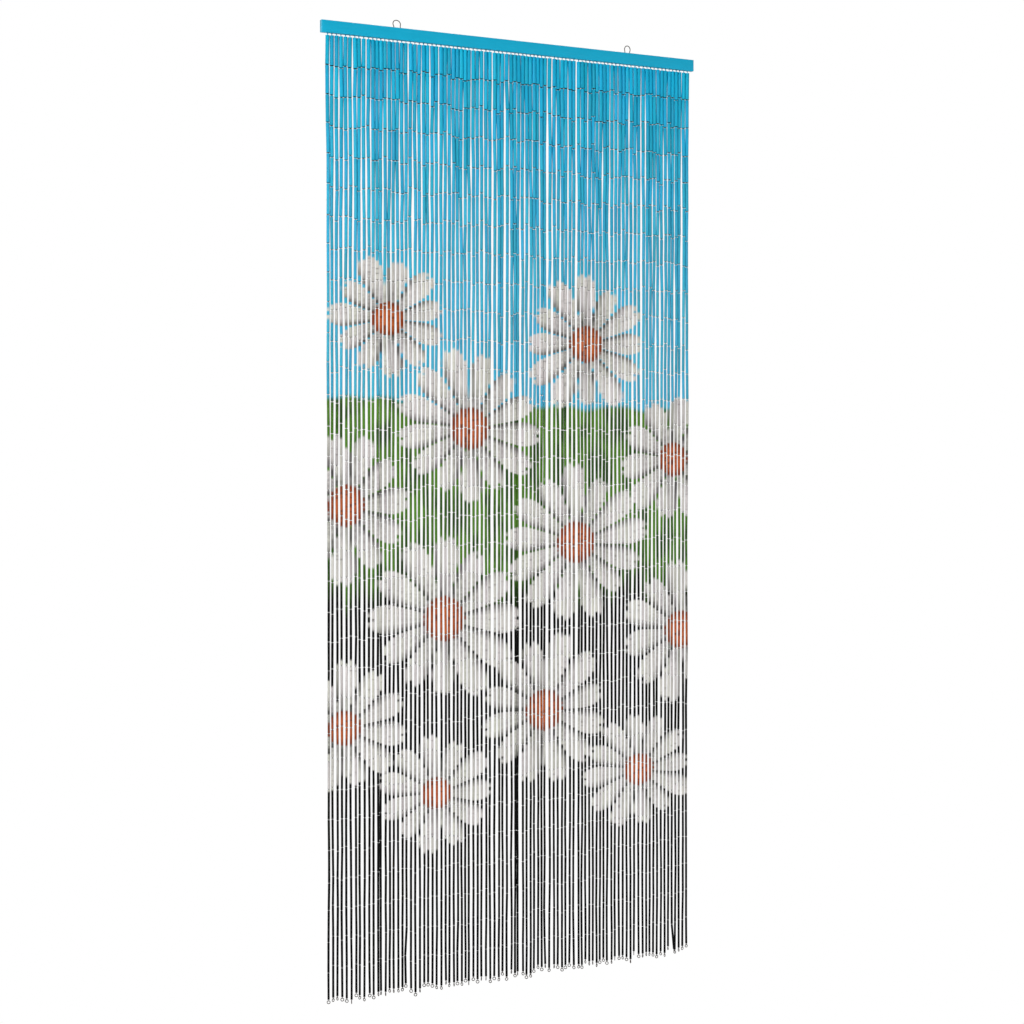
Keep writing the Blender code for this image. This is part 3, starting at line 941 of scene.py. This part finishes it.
    def copies(
        self,
        name: str,
        places: Places,
        shape: "Shape",
        finish: bpy.types.Material,
        seed: int,
        uneven: float,
    ) -> bpy.types.Object:
        """Makes the copies and turns them into a plain mesh.

        Args:
            name: The new object's name.
            places: Where the copies go.
            shape: The shape that is repeated.
            finish: The material of all copies.
            seed: The seed of the tones and the unevenness.
            uneven: How far the surface strays, in metres.

        Returns:
            The object, with no modifier left on it.
        """
        cloud = places.cloud(name)
        pattern = shape.build()
        modifier = cloud.modifiers.new("hung_copies", "NODES")
        modifier.node_group = self.tree
        values = {
            "Shape": pattern,
            "Finish": finish,
            "Seed": seed,
            "Shape Width": shape.width,
            "Shape Length": shape.length,
            "Unevenness": uneven,
        }
        for item in self.tree.interface.items_tree:
            if item.in_out == "INPUT" and item.name in values:
                modifier[item.identifier] = values[item.name]
        graph = bpy.context.evaluated_depsgraph_get()
        mesh = bpy.data.meshes.new_from_object(cloud.evaluated_get(graph))
        cloud.modifiers.remove(modifier)
        old = cloud.data
        cloud.data = mesh
        mesh.name = name
        bpy.data.meshes.remove(old)
        bpy.data.objects.remove(pattern, do_unlink=True)
        return cloud


@dataclass(frozen=True)
class Shape:
    """A shape that is repeated, with the size that its copies are scaled from."""

    name: str
    width: float
    length: float

    def rings(self) -> list[list[Vector]]:
        """Returns the closed rings of points that the shape's skin runs through."""
        raise NotImplementedError

    def painted_shade_spans(self) -> set[int]:
        """Returns the spans between rings that are coloured as painted shade of the shape's hollow."""
        return set()

    def cells(self) -> list[tuple[float, float]]:
        """Returns, for each span, where it lies in the column of the flat sheet."""
        count = len(self.rings())
        return [(span / count, (span + 1) / count) for span in range(count)]

    def build(self) -> bpy.types.Object:
        """Skins the rings into a mesh.

        Returns:
            The shape's object, linked to the scene.
        """
        rings = self.rings()
        sides = len(rings[0])
        mesh = bpy.data.meshes.new(self.name)
        bm = bmesh.new()
        layer = bm.loops.layers.uv.new("cell")
        # Faces marked here take near-black painted shade in the tube material.
        dark = bm.faces.layers.float.new("hollow")
        rows = [[bm.verts.new(spot) for spot in ring] for ring in rings]
        spans = len(rings) if self.closed() else len(rings) - 1
        for span in range(spans):
            low, high = rows[span], rows[(span + 1) % len(rings)]
            start, end = self.cells()[span]
            for side in range(sides):
                after = (side + 1) % sides
                face = bm.faces.new((low[side], low[after], high[after], high[side]))
                face.smooth = True
                face[dark] = 1.0 if span in self.painted_shade_spans() else 0.0
                for loop, (u, v) in zip(face.loops, self.corners(side, sides, start, end, span)):
                    loop[layer].uv = (u, v)
        if not self.closed():
            for row in (rows[0][::-1], rows[-1]):
                bm.faces.new(row)
        bmesh.ops.recalc_face_normals(bm, faces=bm.faces)
        bm.to_mesh(mesh)
        bm.free()
        mesh.set_sharp_from_angle(angle=math.radians(42.0))
        thing = bpy.data.objects.new(self.name, mesh)
        bpy.context.scene.collection.objects.link(thing)
        return thing

    def closed(self) -> bool:
        """Returns whether the last ring joins the first."""
        return True

    def corners(self, side: int, sides: int, start: float, end: float, span: int) -> Corners:
        """Places a face of the skin in its column of the flat sheet.

        Args:
            side: The face's place round the ring.
            sides: How many faces a span has.
            start: The span's start in its column.
            end: The span's end in its column.
            span: The span's number.

        Returns:
            The four corners, in the face's order.
        """
        low, high = side / sides - 0.5, (side + 1) / sides - 0.5
        return [(start, low), (start, high), (end, high), (end, low)]


@dataclass(frozen=True)
class Tube(Shape):
    """A hollow bamboo tube with eased ends, standing on its middle."""

    sides: int = 8
    bore_share: float = 0.60

    # Height as a share of the length, radius as a share of half the width
    WALL = (
        (-0.4890, 1.000),
        (-0.1500, 0.975),
        (0.1800, 0.985),
        (0.4940, 1.000),
    )
    EASED = 0.94
    END_LAP = 0.010

    def profile(self) -> list[tuple[float, float]]:
        """Returns the wall's section: up the outer face and down the bore."""
        ends = [(-0.5, self.EASED), *self.WALL, (0.5, self.EASED)]
        return [*ends, (0.5, self.bore_share), (-0.5, self.bore_share)]

    def rings(self) -> list[list[Vector]]:
        """Returns the rings of the section, turned round the tube's length."""
        rings = []
        for height, share in self.profile():
            radius = share * self.width / 2
            angles = [math.tau * side / self.sides for side in range(self.sides)]
            level = height * self.length
            rings.append([Vector((radius * math.cos(a), radius * math.sin(a), level)) for a in angles])
        return rings

    def painted_shade_spans(self) -> set[int]:
        """Returns the spans coloured as painted shade: the eased foot of the outer face, the bore and the
        two ends.
        """
        count = len(self.profile())
        return {0, count - 3, count - 2, count - 1}

    def corners(self, side: int, sides: int, start: float, end: float, span: int) -> Corners:
        """Places a face of the tube: the outer face wide, the bore narrow beside it."""
        profile = self.profile()
        low, high = profile[span][0], profile[(span + 1) % len(profile)][0]
        outer = (0.04, 0.74)
        bore = (0.80, 0.96)
        left, right = bore if span == len(profile) - 2 else outer
        if low == high:
            low, high = (low, low + math.copysign(self.END_LAP, low))
        first = left + (right - left) * side / sides
        last = left + (right - left) * (side + 1) / sides
        return [(first, low), (last, low), (last, high), (first, high)]


@dataclass(frozen=True)
class Link(Shape):
    """A long loop of wire that stands upright, with its middle at the origin."""

    wire: float = 0.0006
    steps: int = 8
    wire_sides: int = 4

    def rings(self) -> list[list[Vector]]:
        """Returns the wire's rings, round a loop of the stated width and length."""
        across = (self.width - self.wire) / 2
        along = (self.length - self.wire) / 2
        rings = []
        for step in range(self.steps):
            angle = math.tau * step / self.steps
            centre = Vector((across * math.cos(angle), 0.0, along * math.sin(angle)))
            outward = Vector((along * math.cos(angle), 0.0, across * math.sin(angle))).normalized()
            ring = []
            for side in range(self.wire_sides):
                way = math.tau * (side + 0.5) / self.wire_sides
                offset = math.cos(way) * outward + math.sin(way) * Vector((0.0, 1.0, 0.0))
                ring.append(centre + self.wire / 2 * offset)
            rings.append(ring)
        return rings


@dataclass(frozen=True)
class WirePiece(Shape):
    """A short straight length of wire, standing on its middle."""

    wire_sides: int = 4

    def closed(self) -> bool:
        """Returns False, because the wire has two ends."""
        return False

    def rings(self) -> list[list[Vector]]:
        """Returns the wire's two end rings."""
        rings = []
        for height in (-self.length / 2, self.length / 2):
            angles = [math.tau * side / self.wire_sides for side in range(self.wire_sides)]
            half = self.width / 2
            rings.append([Vector((half * math.cos(a), half * math.sin(a), height)) for a in angles])
        return rings


@dataclass(frozen=True)
class Staple(Shape):
    """A wire staple driven up into the headrail, with its arch hanging down."""

    wire: float = 0.0009
    arch_steps: int = 6
    wire_sides: int = 5

    def closed(self) -> bool:
        """Returns False, because the staple has two legs."""
        return False

    def rings(self) -> list[list[Vector]]:
        """Returns the wire's rings, down one leg, round the arch and up the other."""
        reach = (self.width - self.wire) / 2
        arch = -self.length / 2 + self.wire / 2 + reach
        route = [Vector((-reach, 0.0, self.length / 2))]
        for step in range(self.arch_steps + 1):
            angle = math.pi + math.pi * step / self.arch_steps
            route.append(Vector((reach * math.cos(angle), 0.0, arch + reach * math.sin(angle))))
        route.append(Vector((reach, 0.0, self.length / 2)))
        return swept(route, self.wire / 2, self.wire_sides)


def swept(route: list[Vector], radius: float, sides: int) -> list[list[Vector]]:
    """Sweeps a round wire along a flat route in the X-Z plane.

    Args:
        route: The wire's middle line.
        radius: The wire's radius.
        sides: How many points each ring has.

    Returns:
        A ring of points at each point of the route.
    """
    rings = []
    depth = Vector((0.0, 1.0, 0.0))
    for step, spot in enumerate(route):
        before = route[max(step - 1, 0)]
        after = route[min(step + 1, len(route) - 1)]
        outward = depth.cross((after - before).normalized())
        ring = []
        for side in range(sides):
            angle = math.tau * side / sides
            ring.append(spot + radius * (math.cos(angle) * outward + math.sin(angle) * depth))
        rings.append(ring)
    return rings


@dataclass
class StrandBank:
    """A group of thirty strands: tubes, link wires, end rings and staples."""

    bank: Bank
    strands: Strands
    repeater: Repeater
    bamboo: bpy.types.Material
    wire: bpy.types.Material
    sprayed: bpy.types.Material
    stained: bpy.types.Material
    link_width: float = 0.0024
    link_length: float = 0.0030
    link_wire: float = 0.0008
    core_width: float = 0.0007
    ring_wire: float = 0.0016
    staple_width: float = 0.0040
    staple_length: float = 0.0078
    staple_drop: float = 0.0030
    hook_length: float = 0.0045
    stem_length: float = 0.0050
    stem_rise: float = 0.0012
    rail_foot: float = -0.025
    unevenness: float = 0.00014
    width_spread: float = 0.04

    def numbers(self) -> range:
        """Returns the numbers of the group's strands."""
        share = Strands.COUNT // len(Bank)
        return range(self.bank.order * share, (self.bank.order + 1) * share)

    def hang(
        self,
        kind: str,
        places: Places,
        shape: Shape,
        finish: bpy.types.Material,
        seed: int,
        uneven: float = 0.0,
    ) -> None:
        """Makes the copies of a shape with their finish, hangs them on the root body and hides the solid
        that they stand for.

        Args:
            kind: What the piece is, for its name.
            places: Where the copies go.
            shape: The shape that is repeated.
            finish: The material of all copies.
            seed: The seed of the tones and the unevenness.
            uneven: How far the surface strays, in metres.
        """
        piece = self.repeater.copies(kind + "_" + self.bank.side, places, shape, finish, seed, uneven)
        dress(piece, self.bank.value)

    def build_tubes(self) -> None:
        """Hangs the hollow tubes of the group."""
        places = Places()
        draw = random.Random(self.bank.order)
        for column, number in enumerate(self.numbers()):
            for row in range(Strands.TUBES):
                top, foot = self.strands.tube_ends(number, row)
                narrower = 1.0 - self.width_spread * draw.random()
                width = between(Strands.DIAMETERS, row) * narrower
                places.put(top, foot, width, draw.uniform(0, math.tau), column)
        shape = Tube("tube_shape", 0.006, Strands.TUBE_LENGTH)
        self.hang("tubes", places, shape, self.bamboo, self.bank.order + 1, self.unevenness)

    def build_links(self) -> None:
        """Threads the link wires: a core in each tube and two loops at each joint."""
        loops, cores = Places(), Places()
        draw = random.Random(100 + self.bank.order)
        sink = self.link_length / 2 - Strands.TUBE_GAP / 2 - 2 * self.link_wire / 3
        for column, number in enumerate(self.numbers()):
            for row in range(Strands.TUBES):
                top, foot = self.strands.tube_ends(number, row)
                along = (top - foot).normalized()
                cores.put(top, foot, self.core_width, 0.0, column)
                half = along * self.link_length / 2
                turn = draw.uniform(0, math.pi)
                if row > 0:
                    middle = top - along * sink
                    loops.put(middle + half, middle - half, self.link_width, turn, column)
                if row < Strands.TUBES - 1:
                    middle = foot + along * sink
                    loops.put(middle + half, middle - half, self.link_width, turn + math.pi / 2, column)
        loop = Link("loop_shape", self.link_width, self.link_length, self.link_wire)
        core = WirePiece("core_shape", self.core_width, Strands.TUBE_LENGTH)
        self.hang("link_loops", loops, loop, self.wire, 11)
        self.hang("link_wires", cores, core, self.wire, 12)

    def build_ends(self) -> None:
        """Hangs the end rings, each on a long loop under the last tube."""
        rings, stems = Places(), Places()
        for column, number in enumerate(self.numbers()):
            turn = self.strands.ring_turn(number)
            foot = self.strands.lines[number][-1]
            top = foot - Vector((0.0, 0.0, Strands.RING_STEM))
            low = top - Vector((0.0, 0.0, Strands.RING_DIAMETER))
            rings.put(top, low, Strands.RING_DIAMETER, turn, column)
            start = foot + Vector((0.0, 0.0, self.stem_rise))
            end = top - Vector((0.0, 0.0, 2 * self.ring_wire))
            stems.put(start, end, self.link_width, turn + math.pi / 2, column)
        ring = Link("ring_shape", Strands.RING_DIAMETER, Strands.RING_DIAMETER, self.ring_wire, 20, 6)
        stem = Link("stem_shape", self.link_width, self.stem_length, self.link_wire, 10, 4)
        self.hang("end_rings", rings, ring, self.stained, 13)
        self.hang("ring_stems", stems, stem, self.stained, 14)

    def build_hangers(self) -> None:
        """Drives the staples and hangs a long loop from each to the first tube."""
        staples, hooks = Places(), Places()
        draw = random.Random(200 + self.bank.order)
        for column, number in enumerate(self.numbers()):
            first = self.strands.lines[number][0]
            low = Vector((first.x, 0.0, self.rail_foot - self.staple_drop))
            turn = draw.gauss(0.0, 0.35)
            high = low + Vector((0.0, 0.0, self.staple_length))
            staples.put(high, low, self.staple_width, turn, column)
            top = low + Vector((0.0, 0.0, 2 * self.ring_wire))
            foot = Vector((first.x, first.y, first.z - self.ring_wire))
            hooks.put(top, foot, self.link_width, turn + math.pi / 2, column)
        staple = Staple("staple_shape", self.staple_width, self.staple_length)
        hook = Link("hook_shape", self.link_width, self.hook_length, self.link_wire, 10, 4)
        self.hang("staples", staples, staple, self.sprayed, 15)
        self.hang("top_loops", hooks, hook, self.sprayed, 16)

    def build(self) -> None:
        """Builds every piece of the group."""
        self.build_tubes()
        self.build_links()
        self.build_ends()
        self.build_hangers()


@dataclass
class Headrail:
    """The painted lath, with softly rounded edges and slightly uneven faces."""

    finish: bpy.types.Material
    length: float = 0.900
    thickness: float = 0.010
    height: float = 0.025
    edge: float = 0.0006
    steps: int = 90
    waviness: float = 0.00012
    sharp_from: float = 35.0

    def build(self) -> None:
        """Builds the lath in place of its plain solid."""
        low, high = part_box("headrail")
        bm = bmesh.new()
        size = Matrix.Diagonal((self.length, self.thickness, self.height, 1.0))
        middle = Matrix.Translation((Vector(low) + Vector(high)) / 2)
        bmesh.ops.create_cube(bm, size=1.0, matrix=middle @ size)
        bmesh.ops.bevel(
            bm,
            geom=bm.edges[:],
            offset=self.edge,
            segments=3,
            profile=0.5,
            affect="EDGES",
            clamp_overlap=True,
        )
        for step in range(1, self.steps):
            x = -self.length / 2 + self.length * step / self.steps
            whole = bm.verts[:] + bm.edges[:] + bm.faces[:]
            bmesh.ops.bisect_plane(bm, geom=whole, plane_co=(x, 0, 0), plane_no=(1, 0, 0))
        for vert in bm.verts:
            bend = math.sin(vert.co.x * 9.0 + 0.7) + 0.5 * math.sin(vert.co.x * 31.0 + vert.co.z * 60.0)
            vert.co.y += self.waviness * bend
        dress(smooth_piece("rail_lath", bm, self.finish, self.sharp_from), "headrail")


@dataclass
class WireEye:
    """A bent wire eye with both legs set in the headrail's top."""

    node: str
    finish: bpy.types.Material
    across: float
    turn: float
    lean: float
    radius: float = 0.0078
    rise: float = 0.0158
    wire: float = 0.0018
    leg: float = 0.0140
    overrun: float = math.radians(30.0)
    steps: int = 36
    sides: int = 12
    sharp_from: float = 50.0

    def route(self) -> list[Vector]:
        """Returns the wire's middle line, from leg to leg."""
        aside = self.radius * math.cos(self.overrun)
        route = [Vector((-aside, 0.0, -self.leg)), Vector((-aside, 0.0, 0.0))]
        for step in range(self.steps + 1):
            angle = math.pi + self.overrun - (math.pi + 2 * self.overrun) * step / self.steps
            height = self.rise - self.radius + self.radius * math.sin(angle)
            shift = self.lean * height / self.rise
            route.append(Vector((self.radius * math.cos(angle) + shift, 0.0, height)))
        return route + [Vector((aside, 0.0, 0.0)), Vector((aside, 0.0, -self.leg))]

    def build(self) -> None:
        """Builds the eye in place of its plain solid."""
        turn = Matrix.Translation((self.across, 0.0, 0.0)) @ Matrix.Rotation(self.turn, 4, "Z")
        rings = swept(self.route(), self.wire / 2, self.sides)
        bm = bmesh.new()
        rows = [[bm.verts.new(turn @ spot) for spot in ring] for ring in rings]
        for low, high in zip(rows, rows[1:]):
            for side in range(self.sides):
                after = (side + 1) % self.sides
                bm.faces.new((low[side], low[after], high[after], high[side]))
        for end in (rows[0][::-1], rows[-1]):
            bm.faces.new(end)
        eye = smooth_piece(self.node + "_wire", bm, self.finish, self.sharp_from)
        dress(eye, self.node)


@dataclass
class Studio:
    """The pale floor, the soft light and the camera."""

    camera_place: Vector = field(default_factory=lambda: Vector((-2.1326, -3.8854, -0.8860)))
    camera_yaw: float = math.radians(28.659)
    camera_pitch: float = math.radians(-0.943)
    focal_pixels: float = 2075.4
    picture_pixels: float = 1024.0
    sensor: float = 36.0
    lens_shift: float = -0.02
    floor_height: float = -2.06
    floor_size: float = 40.0
    pale: Colour = (0.93, 0.93, 0.93)
    glow: float = 1.00
    seen_strength: float = 1.0
    lit_strength: float = 0.20

    def build_camera(self) -> None:
        """Sets the camera at the photograph's angle."""
        data = bpy.data.cameras.new("camera")
        data.sensor_width = self.sensor
        data.lens = self.focal_pixels * self.sensor / self.picture_pixels
        data.shift_y = self.lens_shift
        data.clip_end = 100.0
        camera = bpy.data.objects.new("camera", data)
        camera.location = self.camera_place
        camera.rotation_euler = (math.pi / 2 + self.camera_pitch, 0.0, -self.camera_yaw)
        bpy.context.scene.collection.objects.link(camera)
        bpy.context.scene.camera = camera

    def build_floor(self) -> None:
        """Lays the floor under the curtain."""
        bm = bmesh.new()
        place = Matrix.Translation((0.0, 0.0, self.floor_height))
        bmesh.ops.create_grid(bm, x_segments=1, y_segments=1, size=self.floor_size / 2, matrix=place)
        mesh = bpy.data.meshes.new("floor")
        bm.to_mesh(mesh)
        bm.free()
        material = bpy.data.materials.new("pale_floor")
        material.use_nodes = True
        shader = material.node_tree.nodes["Principled BSDF"]
        shader.inputs["Roughness"].default_value = 0.9
        shader.inputs["Specular IOR Level"].default_value = 0.0
        shader.inputs["Emission Color"].default_value = (1.0, 1.0, 1.0, 1.0)
        bench = NodeBench(material.node_tree)
        seen = bench.add("ShaderNodeLightPath").outputs["Is Camera Ray"]
        lit = bench.blend(seen, (*self.pale, 1.0), (0.0, 0.0, 0.0, 1.0))
        bench.feed(shader.inputs["Base Color"], lit)
        bench.feed(shader.inputs["Emission Strength"], bench.math("MULTIPLY", seen, self.glow))
        mesh.materials.append(material)
        floor = bpy.data.objects.new("floor", mesh)
        bpy.context.scene.collection.objects.link(floor)

    def add_softbox(self, name: str, place: Vector, target: Vector, size: float, power: float) -> None:
        """Adds a large soft lamp.

        Args:
            name: The lamp's name.
            place: Where it stands.
            target: What it points at.
            size: The width of its square face.
            power: Its power in watts.
        """
        data = bpy.data.lights.new(name, "AREA")
        data.size = size
        data.energy = power
        lamp = bpy.data.objects.new(name, data)
        lamp.location = place
        lamp.rotation_euler = (target - place).to_track_quat("-Z", "Y").to_euler()
        bpy.context.scene.collection.objects.link(lamp)

    def build_light(self) -> None:
        """Lights the curtain with a pale sky, dimmer than it looks, and three soft lamps."""
        world = bpy.data.worlds.new("studio")
        world.use_nodes = True
        bench = NodeBench(world.node_tree)
        sky = world.node_tree.nodes["Background"]
        sky.inputs["Color"].default_value = (1.0, 1.0, 1.0, 1.0)
        seen = bench.add("ShaderNodeLightPath").outputs["Is Camera Ray"]
        extra = self.seen_strength - self.lit_strength
        bench.feed(sky.inputs["Strength"], bench.math("MULTIPLY_ADD", seen, extra, self.lit_strength))
        bpy.context.scene.world = world
        bpy.context.scene.view_settings.view_transform = "Standard"
        middle = Vector((0.0, 0.0, -1.0))
        self.add_softbox("front_left", Vector((-4.3, -3.8, 1.2)), middle, 2.2, 300.0)
        self.add_softbox("front_right", Vector((3.2, -2.8, 0.2)), middle, 2.0, 20.0)
        self.add_softbox("behind", Vector((1.9, 3.4, 2.8)), middle, 2.4, 260.0)

    def build(self) -> None:
        """Builds the camera, the floor and the light."""
        self.build_camera()
        self.build_floor()
        self.build_light()


def main() -> None:
    """Builds the whole dressed curtain in its studio."""
    logging.basicConfig(level=logging.INFO, format="%(message)s")
    bamboo = PaintedBamboo("painted_bamboo_tubes").build()
    wire = DrawnWire("drawn_steel_wire").build()
    sprayed = DrawnWire(
        "sprayed_steel_wire",
        metal=from_screen(70, 172, 200),
        stain=from_screen(120, 150, 158),
        roughness=0.50,
        metallic=0.0,
    ).build()
    stained = DrawnWire(
        "stained_steel_wire",
        metal=from_screen(58, 52, 45),
        stain=from_screen(70, 46, 28),
        stain_share=0.8,
        roughness=0.60,
        metallic=0.0,
    ).build()
    Headrail(PaintedWood("painted_lath").build()).build()
    WireEye("eye_left", stained, -0.279, math.radians(-16.0), -0.0020).build()
    WireEye("eye_right", stained, 0.279, math.radians(7.0), 0.0003).build()
    strands = Strands()
    repeater = Repeater()
    for bank in Bank:
        StrandBank(bank, strands, repeater, bamboo, wire, sprayed, stained).build()
    Studio().build()


if __name__ == "__main__":
    main()
